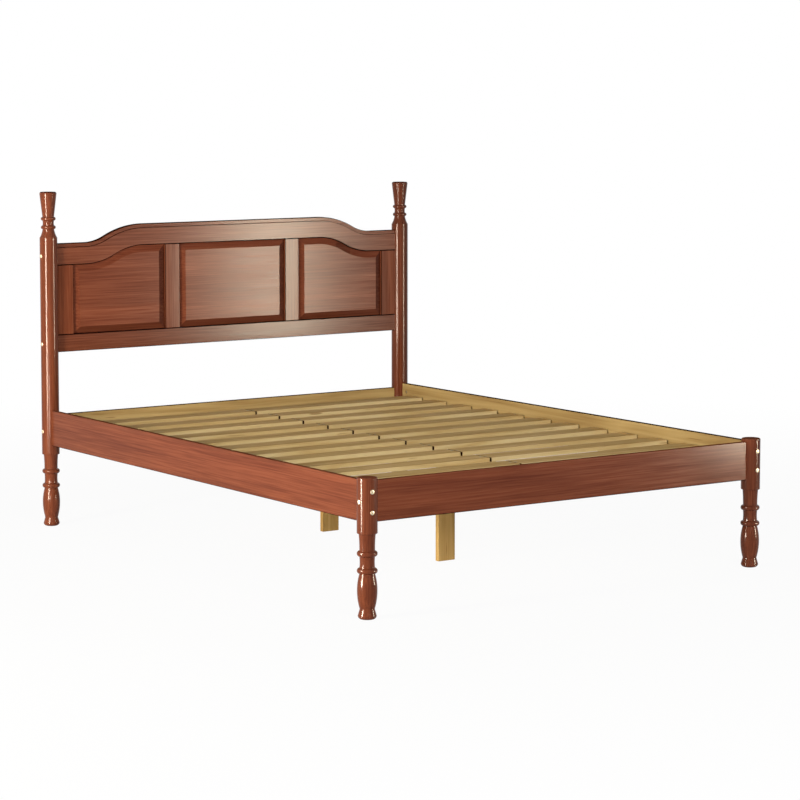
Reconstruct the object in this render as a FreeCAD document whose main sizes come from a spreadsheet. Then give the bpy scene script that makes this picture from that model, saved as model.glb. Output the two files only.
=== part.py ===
import FreeCAD, Part
import Sketcher
import math
import os
import re

# A queen-size platform bed of turned posts and flat boards.
# The origin is on the floor under the middle of the bed, +Y is towards the head, +Z is up.

doc = FreeCAD.newDocument("platform_bed")
sheet = doc.addObject("Spreadsheet::Sheet", "dims")

# Driving dimensions in millimetres
sizes = {
    # mattress well
    "mattress_width": 1524,
    "mattress_length": 2032,
    "side_gap": 3,              # mattress to each side rail
    "end_gap": 11.5,            # mattress to the foot rail and to the head rail
    # boards of the frame
    "rail_thick": 19,
    "rail_height": 128,
    "rail_lift": 34,            # lower end of the plain post to the rails' underside
    "rail_ease": 2,             # rounding of the rails' long edges
    "rail_set_in": 7.5,         # post axis to the rails' inner faces
    "head_rail_drop": 18,       # head rail's top below the side rails' top
    "head_rail_height": 120,
    "mortise_depth": 14,        # how far a rail goes into its post
    "mortise_gap": 0.2,         # clearance beside and above a rail in its mortise
    # turned leg, stacked from the floor
    "post_radius": 32,
    "foot_base_radius": 21,
    "foot_radius": 29,
    "foot_round": 10.5,
    "foot_flare": 20.5,
    "ankle_radius": 23.2,
    "bulb_radius": 31.4,
    "bulb_rise": 57,
    "bulb_fall": 51.4,
    "leg_neck_radius": 24,
    "leg_bead_height": 18,
    "leg_bead_proud": 8,
    "leg_bead_gap": 34.6,
    "leg_bead_hollow": 1,       # how far the turning dips between the beads
    "leg_taper": 53,
    "leg_taper_hollow": 0.7,
    "collar_radius": 26.3,
    "collar_round": 2,
    # tops of the posts
    "post_cap": 10,             # foot post above the side rail's top
    "cap_round": 4,
    "post_shoulder": 22,        # plain head post above the headboard's shoulder
    "finial_cone": 31,
    "finial_cone_hollow": 1.7,
    "finial_neck_radius": 21,
    "finial_bead_height": 14,
    "finial_bead_proud": 6,
    "finial_bead_gap": 17,
    "finial_bead_hollow": 1,
    "finial_flare": 84,
    "finial_radius": 31,
    "finial_round": 6,
    # headboard, stacked from the head rail
    "board_gap": 228,           # head rail's top to the headboard
    "board_thick": 22,
    "board_set_in": 12,         # how far the headboard goes into its posts
    "bottom_rail_height": 63,
    "panel_height": 316,        # opening of the middle panel
    "top_rail_depth": 78.5,
    "ogee_drop": 61.5,
    "crest_radius": 334,
    "hollow_radius": 170,
    "shoulder_flat": 52,        # level part of the shoulder over the side panel
    "moulding_height": 15.5,
    "moulding_depth": 3,
    "moulding_round": 3,
    "end_stile_width": 74.5,
    "mid_stile_width": 62,
    "side_panel_width": 383.5,
    "groove_width": 6.4,
    "groove_depth": 9,
    "tongue_thick": 6,
    "tongue_length": 8,
    "panel_bevel": 26,
    "panel_inset": 1,           # raised field behind the frame's face
    "panel_margin": 0.5,        # clearance round the raised part
    # slats and what carries them
    "slat_count": 12,
    "slat_width": 84,
    "slat_thick": 14,
    "slat_drop": 43,            # slats' top below the side rails' top
    "slat_end_gap": 5.5,
    "slat_middle_gap": 4,
    "ledger_thick": 25,
    "ledger_height": 38,
    "ledger_setback": 77.5,     # ledger's end to the cross rail
    "beam_width": 44,
    "beam_height": 49,
    "beam_end_gap": 1,
    "cradle_width": 100,
    "cradle_depth": 40,
    "cradle_floor": 15,
    "cradle_wall": 25,
    "cradle_gap": 0.3,
    "centre_leg_width": 68,
    "centre_leg_thick": 19,
    "centre_leg_offset": 360,   # centre legs from the middle of the bed
    # connector bolts and barrel nuts
    "bolt_radius": 3,
    "bolt_head_radius": 7,
    "bolt_head_height": 3,
    "bolt_head_rim": 1.4,
    "bolt_socket_radius": 2.3,
    "bolt_socket_depth": 2,
    "bolt_spread": 63.5,        # between the two bolts of a side rail
    "bolt_beyond": 8,           # bolt's end past the nut's axis
    "bolt_clear": 0.5,
    "seat_depth": 1.5,          # flat seat of a bolt's head below the post's surface
    "seat_clear": 0.8,
    "nut_reach": 57.5,          # post axis to the nut
    "nut_radius": 5,
    "nut_length": 14,
    "nut_sink": 1.5,            # nut's end below the board's face
    "nut_clear": 0.2,
    "nut_slot_width": 1.4,
    "nut_slot_depth": 1.2,
    # wood screws and leg brackets
    "screw_radius": 2,
    "screw_head_radius": 4,
    "screw_head_height": 2.4,
    "screw_clear": 0.15,
    "screw_bite": 16,           # length in the second piece
    "slat_screw_edge": 10,      # slat screw from the edge of the beam or ledger under it
    "cradle_screw_offset": 36,
    "bracket_leg": 45,
    "bracket_width": 40,
    "bracket_thick": 2.5,
    "bracket_screw_offset": 11,
    "bracket_screw_reach": 28,
    "bracket_screw_bite": 13,
}
for row, (alias, size) in enumerate(sizes.items(), 1):
    sheet.set(f"A{row}", alias)
    sheet.set(f"B{row}", str(size))
    sheet.setAlias(f"B{row}", alias)
doc.recompute()


def linked(text):
    # a formula in the sheet's words, as other objects of the document read it
    def cell(word):
        return f"dims.{word.group()}" if word.group() in sizes else word.group()
    return re.sub(r"[a-z_]+", cell, text)


def num(text):
    return float(sheet.evalExpression(linked(text)))


def bind(thing, **formulas):
    for prop, text in formulas.items():
        thing.setExpression(prop.replace("__", "."), linked(text))


# Places worked out from the driving dimensions
inner_x = "(mattress_width / 2 + side_gap)"
inner_y = "(mattress_length / 2 + end_gap)"
post_x = f"({inner_x} + rail_set_in)"
post_y = f"({inner_y} + rail_set_in)"
rail_out = "(rail_thick - rail_set_in)"
rail_mid = "(rail_thick / 2 - rail_set_in)"
rail_seat = "(post_radius - mortise_depth)"
board_seat = "(post_radius - board_set_in)"

ankle_z = "(foot_round + foot_flare)"
bulb_z = f"({ankle_z} + bulb_rise)"
low_bead_z = f"({bulb_z} + bulb_fall)"
high_bead_z = f"({low_bead_z} + leg_bead_height + leg_bead_gap)"
taper_z = f"({high_bead_z} + leg_bead_height)"
plain_z = f"({taper_z} + leg_taper)"

rail_z = f"({plain_z} + rail_lift)"
rail_top = f"({rail_z} + rail_height)"
rail_axis = f"({rail_z} + rail_height / 2)"
head_rail_top = f"({rail_top} - head_rail_drop)"
head_rail_z = f"({head_rail_top} - head_rail_height)"
head_rail_axis = f"({head_rail_z} + head_rail_height / 2)"

board_z = f"({head_rail_top} + board_gap)"
panel_z = f"({board_z} + bottom_rail_height)"
crest_z = f"({panel_z} + panel_height + top_rail_depth)"
shoulder_z = f"({crest_z} - ogee_drop)"
board_end = f"({post_x} - {board_seat})"
end_stile_x = f"({board_end} - end_stile_width)"
mid_stile_out = f"({end_stile_x} - side_panel_width)"
mid_stile_in = f"({mid_stile_out} - mid_stile_width)"
low_bolt_z = f"({board_z} + bottom_rail_height / 2)"
high_bolt_z = f"({shoulder_z} - top_rail_depth / 2 - 5)"

slat_top = f"({rail_top} - slat_drop)"
ledger_top = f"({slat_top} - slat_thick)"
ledger_z = f"({ledger_top} - ledger_height)"
beam_z = f"({ledger_top} - beam_height)"
slat_gap = f"((2 * {inner_y} - slat_count * slat_width) / (slat_count + 1))"
slat_pitch = f"({slat_gap} + slat_width)"
slat_screw_out = f"({inner_x} - ledger_thick + slat_screw_edge)"
slat_screw_in = "(beam_width / 2 - slat_screw_edge)"

slat_rows = [f"({inner_y} - {slat_gap} - slat_width / 2 - {row} * {slat_pitch})"
             for row in range(round(num("slat_count")))]
ledger_rows = [f"({inner_y} - {slat_gap} / 2 - {row} * {slat_pitch})"
               for row in range(1, round(num("slat_count")), 2)]

sides = {"left": -1, "right": 1}
ends = {"foot": -1, "head": 1}
along = {"x": FreeCAD.Vector(1, 0, 0), "y": FreeCAD.Vector(0, 1, 0), "z": FreeCAD.Vector(0, 0, 1)}
nodes = []


# Tools for the pieces

def piece(label, x="0", y="0", z="0"):
    body = doc.addObject("PartDesign::Body", label)
    body.Label = label
    bind(body, Placement__Base__x=x, Placement__Base__y=y, Placement__Base__z=z)
    nodes.append(body)
    return body


def box(body, kind, low, high):
    # a block between two corners, added to the piece or cut from it
    block = body.newObject(f"PartDesign::{kind}Box", "block")
    bind(block, Length=f"({high[0]}) - ({low[0]})", Width=f"({high[1]}) - ({low[1]})",
         Height=f"({high[2]}) - ({low[2]})", Placement__Base__x=low[0],
         Placement__Base__y=low[1], Placement__Base__z=low[2])
    return block


def bore(body, start, way, radius, depth, sign=1):
    # a round hole from a point along an axis
    hole = body.newObject("PartDesign::SubtractiveCylinder", "bore")
    turn = FreeCAD.Rotation(along["z"], along[way] * sign)
    hole.Placement = FreeCAD.Placement(FreeCAD.Vector(), turn)
    bind(hole, Radius=radius, Height=depth, Placement__Base__x=start[0],
         Placement__Base__y=start[1], Placement__Base__z=start[2])


def countersink(body, start, way, depth, sign=1):
    # a screw's clearance hole with a seat for its head
    bore(body, start, way, "screw_radius + screw_clear", depth, sign)
    seat = body.newObject("PartDesign::SubtractiveCone", "countersink")
    turn = FreeCAD.Rotation(along["z"], along[way] * sign)
    seat.Placement = FreeCAD.Placement(FreeCAD.Vector(), turn)
    bind(seat, Radius1="screw_head_radius + screw_clear", Radius2="screw_radius + screw_clear",
         Height="screw_head_height", Placement__Base__x=start[0],
         Placement__Base__y=start[1], Placement__Base__z=start[2])


def span(sign, near, far):
    # low and high end of a stretch that lies on one side of the axis
    return (near, far) if sign > 0 else (f"-({far})", f"-({near})")


def arc_between(first, last, radius, rise, turn):
    # an arc from one point to the next, turning left (1) or right (-1)
    chord = last - first
    normal = FreeCAD.Vector(-chord.y, chord.x, 0).normalize() * turn
    centre = (first + last) * 0.5 + normal * (radius - rise)
    begin, end = (first, last) if turn > 0 else (last, first)
    low = math.atan2(begin.y - centre.y, begin.x - centre.x)
    high = math.atan2(end.y - centre.y, end.x - centre.x)
    circle = Part.Circle(centre, FreeCAD.Vector(0, 0, 1), radius)
    return Part.ArcOfCircle(circle, low, high if high > low else high + 2 * math.pi)


def outline(body, plane, corners, offset="0"):
    # A closed sketch. Each corner is (x, y) or (x, y, bend), where the bend shapes the edge to the
    # next corner: ("radius", formula, turn) for a short arc, ("rise", formula, turn) for its height.
    sketch = body.newObject("Sketcher::SketchObject", "outline")
    origin = [item for item in body.Origin.OriginFeatures if item.Role == plane][0]
    sketch.AttachmentSupport = [(origin, "")]
    sketch.MapMode = "FlatFace"
    bind(sketch, AttachmentOffset__Base__z=offset)
    spots = [FreeCAD.Vector(num(corner[0]), num(corner[1]), 0) for corner in corners]
    heads, tails = [], []
    radii = {}
    for index, corner in enumerate(corners):
        first, last = spots[index], spots[(index + 1) % len(spots)]
        if len(corner) == 2:
            sketch.addGeometry(Part.LineSegment(first, last))
            heads.append(1)
            tails.append(2)
            continue
        kind, formula, turn = corner[2]
        half = (last - first).Length / 2
        if kind == "rise":
            following = corners[(index + 1) % len(corners)]
            square = f"((({following[0]}) - ({corner[0]}))^2 + (({following[1]}) - ({corner[1]}))^2)"
            rise = num(formula)
            formula = f"({square} / 4 + ({formula})^2) / (2 * ({formula}))"
        else:
            rise = num(formula) - math.sqrt(max(num(formula) ** 2 - half ** 2, 0))
        radii[index] = formula
        sketch.addGeometry(arc_between(first, last, num(formula), rise, turn))
        heads.append(1 if turn > 0 else 2)
        tails.append(2 if turn > 0 else 1)
    for index, corner in enumerate(corners):
        after = (index + 1) % len(corners)
        sketch.addConstraint(Sketcher.Constraint("Coincident", index, tails[index], after, heads[after]))
        for kind, value, text in (("DistanceX", spots[index].x, corner[0]),
                                  ("DistanceY", spots[index].y, corner[1])):
            rule = sketch.addConstraint(Sketcher.Constraint(kind, -1, 1, index, heads[index], value))
            sketch.setExpression(f"Constraints[{rule}]", linked(text))
        if index in radii:
            rule = sketch.addConstraint(Sketcher.Constraint("Radius", index, num(radii[index])))
            sketch.setExpression(f"Constraints[{rule}]", linked(radii[index]))
    return sketch


def extrude(body, kind, sketch, length, symmetric=True, back=False):
    feature = body.newObject(f"PartDesign::{kind}", kind.lower())
    feature.Profile = sketch
    feature.SideType = "Symmetric" if symmetric else "One side"
    feature.Reversed = back
    bind(feature, Length=length)
    return feature


def turned(body, corners):
    sketch = outline(body, "XZ_Plane", corners)
    turning = body.newObject("PartDesign::Revolution", "turning")
    turning.Profile = sketch
    turning.ReferenceAxis = (sketch, ["V_Axis"])
    turning.Angle = 360
    return turning


def eased(body, feature, way, radius, chosen):
    # rounds the edges of a board that run along one axis
    doc.recompute()
    names = []
    for index, edge in enumerate(feature.Shape.Edges, 1):
        run = edge.Vertexes[-1].Point - edge.Vertexes[0].Point
        straight = run.Length > 0 and abs(run.normalize().dot(along[way])) > 0.999
        if straight and chosen(edge.CenterOfMass):
            names.append(f"Edge{index}")
    rounding = body.newObject("PartDesign::Fillet", "easing")
    rounding.Base = (feature, names)
    bind(rounding, Radius=radius)


def group(label, pattern, places):
    # separate copies of one small piece, each with its place, its heading and a turn about that heading
    copies = []
    for spot, heading, *turn in places:
        copy = pattern.Shape.copy()
        aim = FreeCAD.Rotation(along["z"], heading)
        spin = FreeCAD.Rotation(along["z"], turn[0] if turn else 0)
        place = FreeCAD.Placement(FreeCAD.Vector(*[num(text) for text in spot]), aim.multiply(spin))
        copy.Placement = place.multiply(copy.Placement)
        copies.append(copy)
    feature = doc.addObject("Part::Feature", label)
    feature.Label = label
    feature.Shape = Part.makeCompound(copies)
    feature.Placement = FreeCAD.Placement()
    nodes.append(feature)


# Turned posts

def convex(rise, run):
    # bend that is upright at the widest point of the turning
    return ("radius", f"(({run})^2 + ({rise})^2) / (2 * ({rise}))", 1)


def bead(radius, low, height, proud):
    return [(radius, low, ("rise", proud, 1))], f"({low} + {height})"


def leg_profile():
    low_bead, low_bead_top = bead("leg_neck_radius", low_bead_z, "leg_bead_height", "leg_bead_proud")
    high_bead, _ = bead("leg_neck_radius", high_bead_z, "leg_bead_height", "leg_bead_proud")
    return [
        ("0", "0"),
        ("foot_base_radius", "0", convex("foot_radius - foot_base_radius", "foot_round")),
        ("foot_radius", "foot_round"),
        ("ankle_radius", ankle_z, convex("bulb_radius - ankle_radius", "bulb_rise")),
        ("bulb_radius", bulb_z, convex("bulb_radius - leg_neck_radius", "bulb_fall")),
        *low_bead,
        ("leg_neck_radius", low_bead_top, ("rise", "leg_bead_hollow", -1)),
        *high_bead,
        ("leg_neck_radius", taper_z, ("rise", "leg_taper_hollow", -1)),
        ("collar_radius", plain_z),
        ("post_radius - collar_round", plain_z, convex("collar_round", "collar_round")),
        ("post_radius", f"{plain_z} + collar_round"),
    ]


def cap_profile():
    top = f"({rail_top} + post_cap)"
    return [
        ("post_radius", f"{top} - cap_round", convex("cap_round", "cap_round")),
        ("post_radius - cap_round", top),
        ("0", top),
    ]


def finial_profile():
    cone_z = f"({shoulder_z} + post_shoulder)"
    low_z = f"({cone_z} + finial_cone)"
    high_z = f"({low_z} + finial_bead_height + finial_bead_gap)"
    flare_z = f"({high_z} + finial_bead_height)"
    rim_z = f"({flare_z} + finial_flare)"
    low_bead, low_top = bead("finial_neck_radius", low_z, "finial_bead_height", "finial_bead_proud")
    high_bead, _ = bead("finial_neck_radius", high_z, "finial_bead_height", "finial_bead_proud")
    return [
        ("post_radius", cone_z, ("rise", "finial_cone_hollow", -1)),
        *low_bead,
        ("finial_neck_radius", low_top, ("rise", "finial_bead_hollow", -1)),
        *high_bead,
        ("finial_neck_radius", flare_z),
        ("finial_radius", rim_z, convex("finial_round", "finial_round")),
        ("finial_radius - finial_round", f"{rim_z} + finial_round"),
        ("0", f"{rim_z} + finial_round"),
    ]


def bolt_hole(body, way, sign, offset, height):
    # through hole with a flat seat for the bolt's head on the outside of the post
    def point(distance):
        return (distance, offset, height) if way == "x" else (offset, distance, height)
    bore(body, point(f"{-sign} * post_radius"), way, "bolt_radius + bolt_clear", "2 * post_radius", sign)
    bore(body, point(f"{sign} * (post_radius - seat_depth)"), way, "bolt_head_radius + seat_clear",
         "bolt_head_height + seat_depth", sign)


def post(side, end):
    name = "headboard" if end > 0 else "foot"
    across = sides[side]
    body = piece(f"{name}_post_{side}", f"{across} * {post_x}", f"{end} * {post_y}")
    turned(body, leg_profile() + (finial_profile() if end > 0 else cap_profile()))
    rail_x = span(across, "-rail_set_in - mortise_gap", f"{rail_out} + mortise_gap")
    rail_y = span(end, "-rail_set_in - mortise_gap", f"{rail_out} + mortise_gap")
    into_x = span(-across, rail_seat, "2 * post_radius")
    into_y = span(-end, rail_seat, "2 * post_radius")
    box(body, "Subtractive", (rail_x[0], into_y[0], rail_z),
        (rail_x[1], into_y[1], f"{rail_top} + mortise_gap"))
    cross_z = (head_rail_z, head_rail_top) if end > 0 else (rail_z, rail_top)
    box(body, "Subtractive", (into_x[0], rail_y[0], cross_z[0]),
        (into_x[1], rail_y[1], f"{cross_z[1]} + mortise_gap"))
    for spread in (-1, 1):
        bolt_hole(body, "y", end, f"{across} * {rail_mid}", f"{rail_axis} + {spread} * bolt_spread / 2")
    cross_axis = head_rail_axis if end > 0 else rail_axis
    bolt_hole(body, "x", across, f"{end} * {rail_mid}", cross_axis)
    if end > 0:
        groove_x = span(-across, board_seat, "2 * post_radius")
        box(body, "Subtractive", (groove_x[0], "-board_thick / 2 - mortise_gap", board_z),
            (groove_x[1], "board_thick / 2 + mortise_gap", f"{shoulder_z} + mortise_gap"))
        for height in (low_bolt_z, high_bolt_z):
            bolt_hole(body, "x", across, "0", height)


# Rails of the frame

def nut_bore(body, start, way, sign, sink="nut_sink"):
    bore(body, start, way, "nut_radius + nut_clear", f"{sink} + nut_length + nut_clear", sign)


def side_rail(side):
    across = sides[side]
    body = piece(f"side_rail_{side}", f"{across} * ({inner_x} + rail_thick / 2)", "0", rail_z)
    half = f"({post_y} - {rail_seat})"
    board = extrude(body, "Pad", outline(body, "XZ_Plane", [
        ("-rail_thick / 2", "0"), ("rail_thick / 2", "0"),
        ("rail_thick / 2", "rail_height"), ("-rail_thick / 2", "rail_height")]), f"2 * {half}")
    eased(body, board, "y", "rail_ease", lambda spot: True)
    for end in ends.values():
        for spread in (-1, 1):
            height = f"rail_height / 2 + {spread} * bolt_spread / 2"
            bore(body, ("0", f"{end} * {half}", height), "y", "bolt_radius + bolt_clear",
                 f"nut_reach - {rail_seat} + bolt_beyond + bolt_clear", -end)
            nut_bore(body, (f"{-across} * rail_thick / 2", f"{end} * ({post_y} - nut_reach)", height),
                     "x", across)
    for place in ledger_rows:
        bore(body, (f"{-across} * rail_thick / 2", place, f"{ledger_z} + ledger_height / 2 - {rail_z}"),
             "x", "screw_radius + screw_clear", f"{screw_in_rail} + screw_clear", across)


def cross_rail(end):
    name = "head_rail" if end > 0 else "foot_rail"
    low = head_rail_z if end > 0 else rail_z
    height = "head_rail_height" if end > 0 else "rail_height"
    body = piece(name, "0", f"{end} * ({inner_y} + rail_thick / 2)", low)
    half = f"({post_x} - {rail_seat})"
    board = extrude(body, "Pad", outline(body, "YZ_Plane", [
        ("-rail_thick / 2", "0"), ("rail_thick / 2", "0"),
        ("rail_thick / 2", height), ("-rail_thick / 2", height)]), f"2 * {half}")
    eased(body, board, "x", "rail_ease", lambda spot: True)
    for across in sides.values():
        bore(body, (f"{across} * {half}", "0", f"{height} / 2"), "x", "bolt_radius + bolt_clear",
             f"nut_reach - {rail_seat} + bolt_beyond + bolt_clear", -across)
        nut_bore(body, (f"{across} * ({post_x} - nut_reach)", f"{-end} * rail_thick / 2", f"{height} / 2"),
                 "y", end)
        bore(body, (f"{across} * cradle_screw_offset", f"{-end} * rail_thick / 2",
                    f"{cradle_screw_z} - {low}"),
             "y", "screw_radius + screw_clear", f"{screw_in_rail} + screw_clear", end)


# Headboard

def ogee(drop):
    # points of a line that runs parallel to the crest, a given drop below it, from the middle outwards
    radii = "(crest_radius + hollow_radius)"
    run = f"sqrt(2 * ogee_drop * {radii} - ogee_drop^2)"
    far = f"({end_stile_x} - shoulder_flat)"
    near = f"({far} - {run})"
    share = f"((crest_radius - ({drop})) / {radii})"
    top = f"({crest_z} - ({drop}))"
    crest = f"(crest_radius - ({drop}))"
    hollow = f"(hollow_radius + ({drop}))"
    return {
        "near": (near, top), "turn": (f"({near} + {share} * {run})", f"({top} - {share} * ogee_drop)"),
        "far": (far, f"({top} - ogee_drop)"), "crest": crest, "hollow": hollow,
    }


def outwards(line, side):
    # corners of a crest line from the middle of the headboard to its shoulder
    return [
        (f"{side} * {line['near'][0]}", line["near"][1], ("radius", line["crest"], -side)),
        (f"{side} * {line['turn'][0]}", line["turn"][1], ("radius", line["hollow"], side)),
        (f"{side} * {line['far'][0]}", line["far"][1]),
    ]


def inwards(line, side):
    return [
        (f"{side} * {line['far'][0]}", line["far"][1], ("radius", line["hollow"], -side)),
        (f"{side} * {line['turn'][0]}", line["turn"][1], ("radius", line["crest"], side)),
        (f"{side} * {line['near'][0]}", line["near"][1]),
    ]


def crest_band(upper, lower, end):
    # closed outline between two crest lines, over the whole headboard
    high, low = ogee(upper), ogee(lower)
    return (
        [(f"-{end}", high["far"][1])] + inwards(high, -1) + outwards(high, 1)
        + [(end, high["far"][1]), (end, low["far"][1])]
        + inwards(low, 1) + outwards(low, -1) + [(f"-{end}", low["far"][1])]
    )


def board_nut_bores(body, height):
    for across in sides.values():
        bore(body, (f"{across} * {board_end}", "0", height), "x", "bolt_radius + bolt_clear",
             f"nut_reach - {board_seat} + bolt_beyond + bolt_clear", -across)
        nut_bore(body, (f"{across} * ({post_x} - nut_reach)", "board_thick / 2", height), "y", -1,
                 board_nut_sink)


def headboard_top_rail():
    body = piece("headboard_top_rail", "0", post_y)
    rail = outline(body, "XZ_Plane", crest_band("0", "top_rail_depth", board_end))
    extrude(body, "Pad", rail, "board_thick")
    past = "groove_depth"
    groove = crest_band("top_rail_depth - groove_depth", f"top_rail_depth + {past}", f"({board_end} + {past})")
    extrude(body, "Pocket", outline(body, "XZ_Plane", groove), "groove_width")
    step = crest_band("-moulding_round", "moulding_height", f"({board_end} + moulding_round)")
    sketch = outline(body, "XZ_Plane", step, "board_thick / 2 - moulding_depth")
    feature = extrude(body, "Pocket", sketch, "2 * moulding_depth", False, True)
    doc.recompute()
    front = num("moulding_depth - board_thick / 2")
    heights = [num(ogee("0")[spot][1]) for spot in ("near", "turn", "far")]
    names = []
    for index, edge in enumerate(feature.Shape.Edges, 1):
        spots = [vertex.Point for vertex in edge.Vertexes]
        if all(abs(spot.y - front) < 0.01 and min(abs(spot.z - height) for height in heights) < 0.01
               for spot in spots):
            names.append(f"Edge{index}")
    rounding = body.newObject("PartDesign::Fillet", "rounding")
    rounding.Base = (feature, names)
    bind(rounding, Radius="moulding_round")
    board_nut_bores(body, high_bolt_z)


def headboard_bottom_rail():
    body = piece("headboard_bottom_rail", "0", post_y, board_z)
    rail = outline(body, "YZ_Plane", [
        ("-board_thick / 2", "0"), ("board_thick / 2", "0"),
        ("board_thick / 2", "bottom_rail_height"), ("groove_width / 2", "bottom_rail_height"),
        ("groove_width / 2", "bottom_rail_height - groove_depth"),
        ("-groove_width / 2", "bottom_rail_height - groove_depth"),
        ("-groove_width / 2", "bottom_rail_height"), ("-board_thick / 2", "bottom_rail_height")])
    extrude(body, "Pad", rail, f"2 * {board_end}")
    board_nut_bores(body, f"{low_bolt_z} - {board_z}")


def stile(name, side, inner, outer, top, grooved):
    # upright of the headboard with stub tenons that enter the rails' grooves
    across = sides[side]
    body = piece(f"headboard_{name}_stile_{side}", "0", post_y)
    low_x, high_x = span(across, inner, outer)
    box(body, "Additive", (low_x, "-board_thick / 2", panel_z), (high_x, "board_thick / 2", top))
    box(body, "Additive", (low_x, "-tongue_thick / 2", f"({panel_z} - tongue_length)"),
        (high_x, "tongue_thick / 2", f"({top} + tongue_length)"))
    for edge in grooved:
        at = inner if edge == "inner" else outer
        deep = span(across, at, f"({at} + groove_depth)") if edge == "inner" else \
            span(across, f"({at} - groove_depth)", at)
        box(body, "Subtractive", (deep[0], "-groove_width / 2", f"({panel_z} - groove_depth)"),
            (deep[1], "groove_width / 2", f"({top} + groove_depth)"))


def middle_panel_outline(grow):
    reach = f"({mid_stile_in} + ({grow}))"
    low = f"({panel_z} - ({grow}))"
    high = f"({crest_z} - top_rail_depth + ({grow}))"
    return [(f"-{reach}", low), (reach, low), (reach, high), (f"-{reach}", high)]


def side_panel_outline(grow, side):
    inner = f"({mid_stile_out} - ({grow}))"
    outer = f"({end_stile_x} + ({grow}))"
    low = f"({panel_z} - ({grow}))"
    line = ogee(f"top_rail_depth - ({grow})")
    return [(f"{side} * {inner}", low), (f"{side} * {outer}", low), (f"{side} * {outer}", line["far"][1]),
            *inwards(line, side), (f"{side} * {inner}", line["near"][1])]


def panel(name, corners):
    # tongue all round, and a raised field with a bevelled margin on the front
    body = piece(f"headboard_panel_{name}", "0", post_y)
    extrude(body, "Pad", outline(body, "XZ_Plane", corners("tongue_length")), "tongue_thick")
    base = outline(body, "XZ_Plane", corners("-panel_margin"), "tongue_thick / 2")
    field = outline(body, "XZ_Plane", corners("-panel_bevel"), "board_thick / 2 - panel_inset")
    raised = body.newObject("PartDesign::AdditiveLoft", "raised_field")
    raised.Profile = base
    raised.Sections = [field]
    raised.Ruled = True


# Slats and what carries them

def slat(side, row):
    across = sides[side]
    body = piece(f"slat_{side}_{row + 1:02d}", "0", slat_rows[row], ledger_top)
    low_x, high_x = span(across, "slat_middle_gap / 2", f"({inner_x} - slat_end_gap)")
    box(body, "Additive", (low_x, "-slat_width / 2", "0"), (high_x, "slat_width / 2", "slat_thick"))
    for place in (slat_screw_in, slat_screw_out):
        countersink(body, (f"{across} * {place}", "0", "slat_thick"), "z", "slat_thick", -1)


def ledger(side):
    across = sides[side]
    body = piece(f"side_ledger_{side}", "0", "0", ledger_z)
    low_x, high_x = span(across, f"({inner_x} - ledger_thick)", inner_x)
    half = f"({inner_y} - ledger_setback)"
    box(body, "Additive", (low_x, f"-{half}", "0"), (high_x, half, "ledger_height"))
    for place in slat_rows:
        bore(body, (f"{across} * {slat_screw_out}", place, "ledger_height"), "z",
             "screw_radius + screw_clear", "screw_bite + screw_clear", -1)
    for place in ledger_rows:
        countersink(body, (f"{across} * ({inner_x} - ledger_thick)", place, "ledger_height / 2"), "x",
                    "ledger_thick", across)


def centre_beam():
    body = piece("centre_beam", "0", "0", beam_z)
    half = f"({inner_y} - beam_end_gap)"
    box(body, "Additive", ("-beam_width / 2", f"-{half}", "0"), ("beam_width / 2", half, "beam_height"))
    for place in slat_rows:
        for across in sides.values():
            bore(body, (f"{across} * {slat_screw_in}", place, "beam_height"), "z",
                 "screw_radius + screw_clear", "screw_bite + screw_clear", -1)
    for spot in bracket_beam_screws:
        bore(body, (spot[0], spot[1], "0"), "z", "screw_radius + screw_clear",
             "bracket_screw_bite + screw_clear")


def beam_cradle(end):
    # notched block that holds the beam's end on the inside of a cross rail
    name = "head" if end > 0 else "foot"
    body = piece(f"beam_cradle_{name}", "0", "0", cradle_z)
    low_y, high_y = span(end, f"({inner_y} - cradle_depth)", inner_y)
    notch_y = span(end, f"({inner_y} - 2 * cradle_depth)", f"({inner_y} + cradle_depth)")
    top = "(cradle_floor + cradle_wall)"
    box(body, "Additive", ("-cradle_width / 2", low_y, "0"), ("cradle_width / 2", high_y, top))
    notch = "(beam_width / 2 + cradle_gap)"
    box(body, "Subtractive", (f"-{notch}", notch_y[0], "cradle_floor"),
        (notch, notch_y[1], "(cradle_floor + beam_height)"))
    for across in sides.values():
        countersink(body, (f"{across} * cradle_screw_offset", f"{end} * ({inner_y} - cradle_depth)",
                           f"{cradle_screw_z} - {cradle_z}"), "y", "cradle_depth", end)


def centre_leg(end):
    name = "rear" if end > 0 else "front"
    body = piece(f"centre_leg_{name}", "0", f"{end} * centre_leg_offset")
    box(body, "Additive", ("-centre_leg_width / 2", "-centre_leg_thick / 2", "0"),
        ("centre_leg_width / 2", "centre_leg_thick / 2", beam_z))
    for across in sides.values():
        bore(body, (f"{across} * bracket_screw_offset", "centre_leg_thick / 2",
                    f"{beam_z} - bracket_screw_reach"), "y", "screw_radius + screw_clear",
             "bracket_screw_bite + screw_clear", -1)


def leg_bracket():
    # pattern of the steel angle between a centre leg and the beam, drawn under the beam's face
    body = doc.addObject("PartDesign::Body", "bracket_pattern")
    corners = [("0", "0"), ("bracket_leg", "0"), ("bracket_leg", "-bracket_thick"),
               ("bracket_thick", "-bracket_thick"), ("bracket_thick", "-bracket_leg"), ("0", "-bracket_leg")]
    extrude(body, "Pad", outline(body, "YZ_Plane", corners), "bracket_width")
    for across in sides.values():
        bore(body, (f"{across} * bracket_screw_offset", "bracket_screw_reach", "-bracket_thick"), "z",
             "screw_radius + screw_clear", "bracket_thick")
        bore(body, (f"{across} * bracket_screw_offset", "0", "-bracket_screw_reach"), "y",
             "screw_radius + screw_clear", "bracket_thick")
    return body


# Fasteners

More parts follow.
